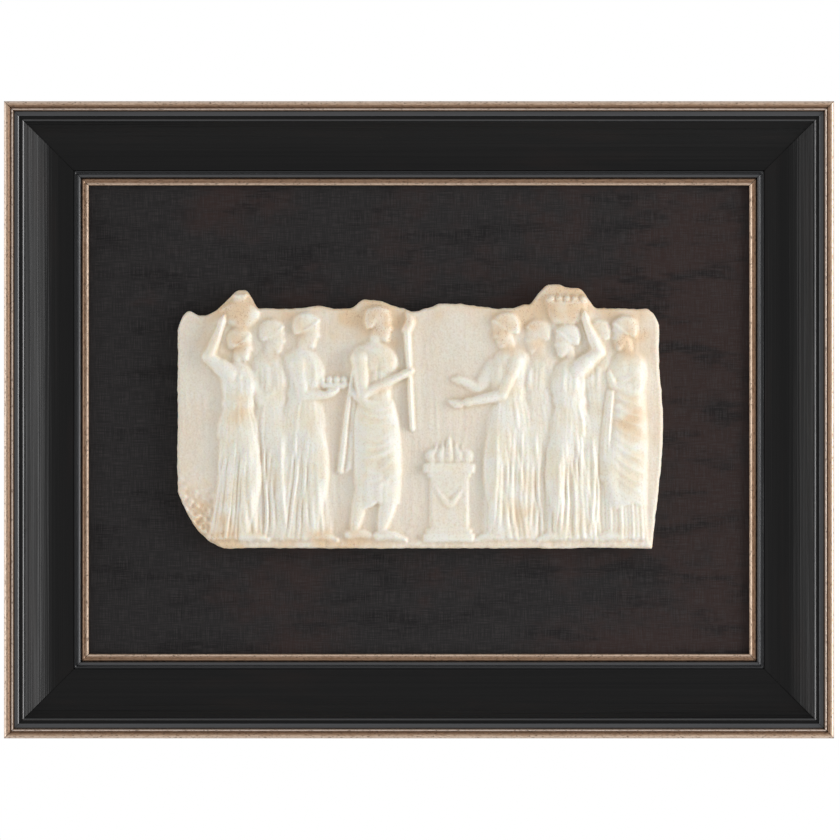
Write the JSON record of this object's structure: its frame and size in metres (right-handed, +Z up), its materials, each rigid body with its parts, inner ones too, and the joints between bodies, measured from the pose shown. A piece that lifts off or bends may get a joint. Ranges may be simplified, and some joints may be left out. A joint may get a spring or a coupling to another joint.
{
  "type": "framed marble relief plaque",
  "caption": "Broken pale marble slab carved with robed figures at an altar, mounted on a dark linen board in a black and gilt scoop frame, to hang on a wall.",
  "frame": {"origin": "on the back face of the top rail, at the middle of its length, level with the hangers", "axes": "+X to the right seen from the front, +Y into the wall, +Z up; the front faces -Y"},
  "size_m": [0.762, 0.0415, 0.585],
  "materials": {
    "lacquered_wood": "black satin lacquer on wood, with gilt lip and sight edge",
    "dark_linen": "fibreboard covered in charcoal and maroon linen",
    "marble": "ivory translucent marble with warm stains, softly worn",
    "brown_paper": "brown kraft paper",
    "plated_steel": "brass-plated steel",
    "felt": "black felt"
  },
  "bodies": {
    "root": {"frame_rail_top": "lacquered_wood", "frame_rail_bottom": "lacquered_wood", "frame_rail_left": "lacquered_wood", "frame_rail_right": "lacquered_wood", "mount_board": "dark_linen", "marble_relief": "marble", "dust_cover": "brown_paper", "hanger_left": "plated_steel", "hanger_right": "plated_steel", "hanger_screw_1": "plated_steel", "hanger_screw_2": "plated_steel", "hanger_screw_3": "plated_steel", "hanger_screw_4": "plated_steel", "bumper_left": "felt", "bumper_right": "felt"}
  },
  "joints": []
}
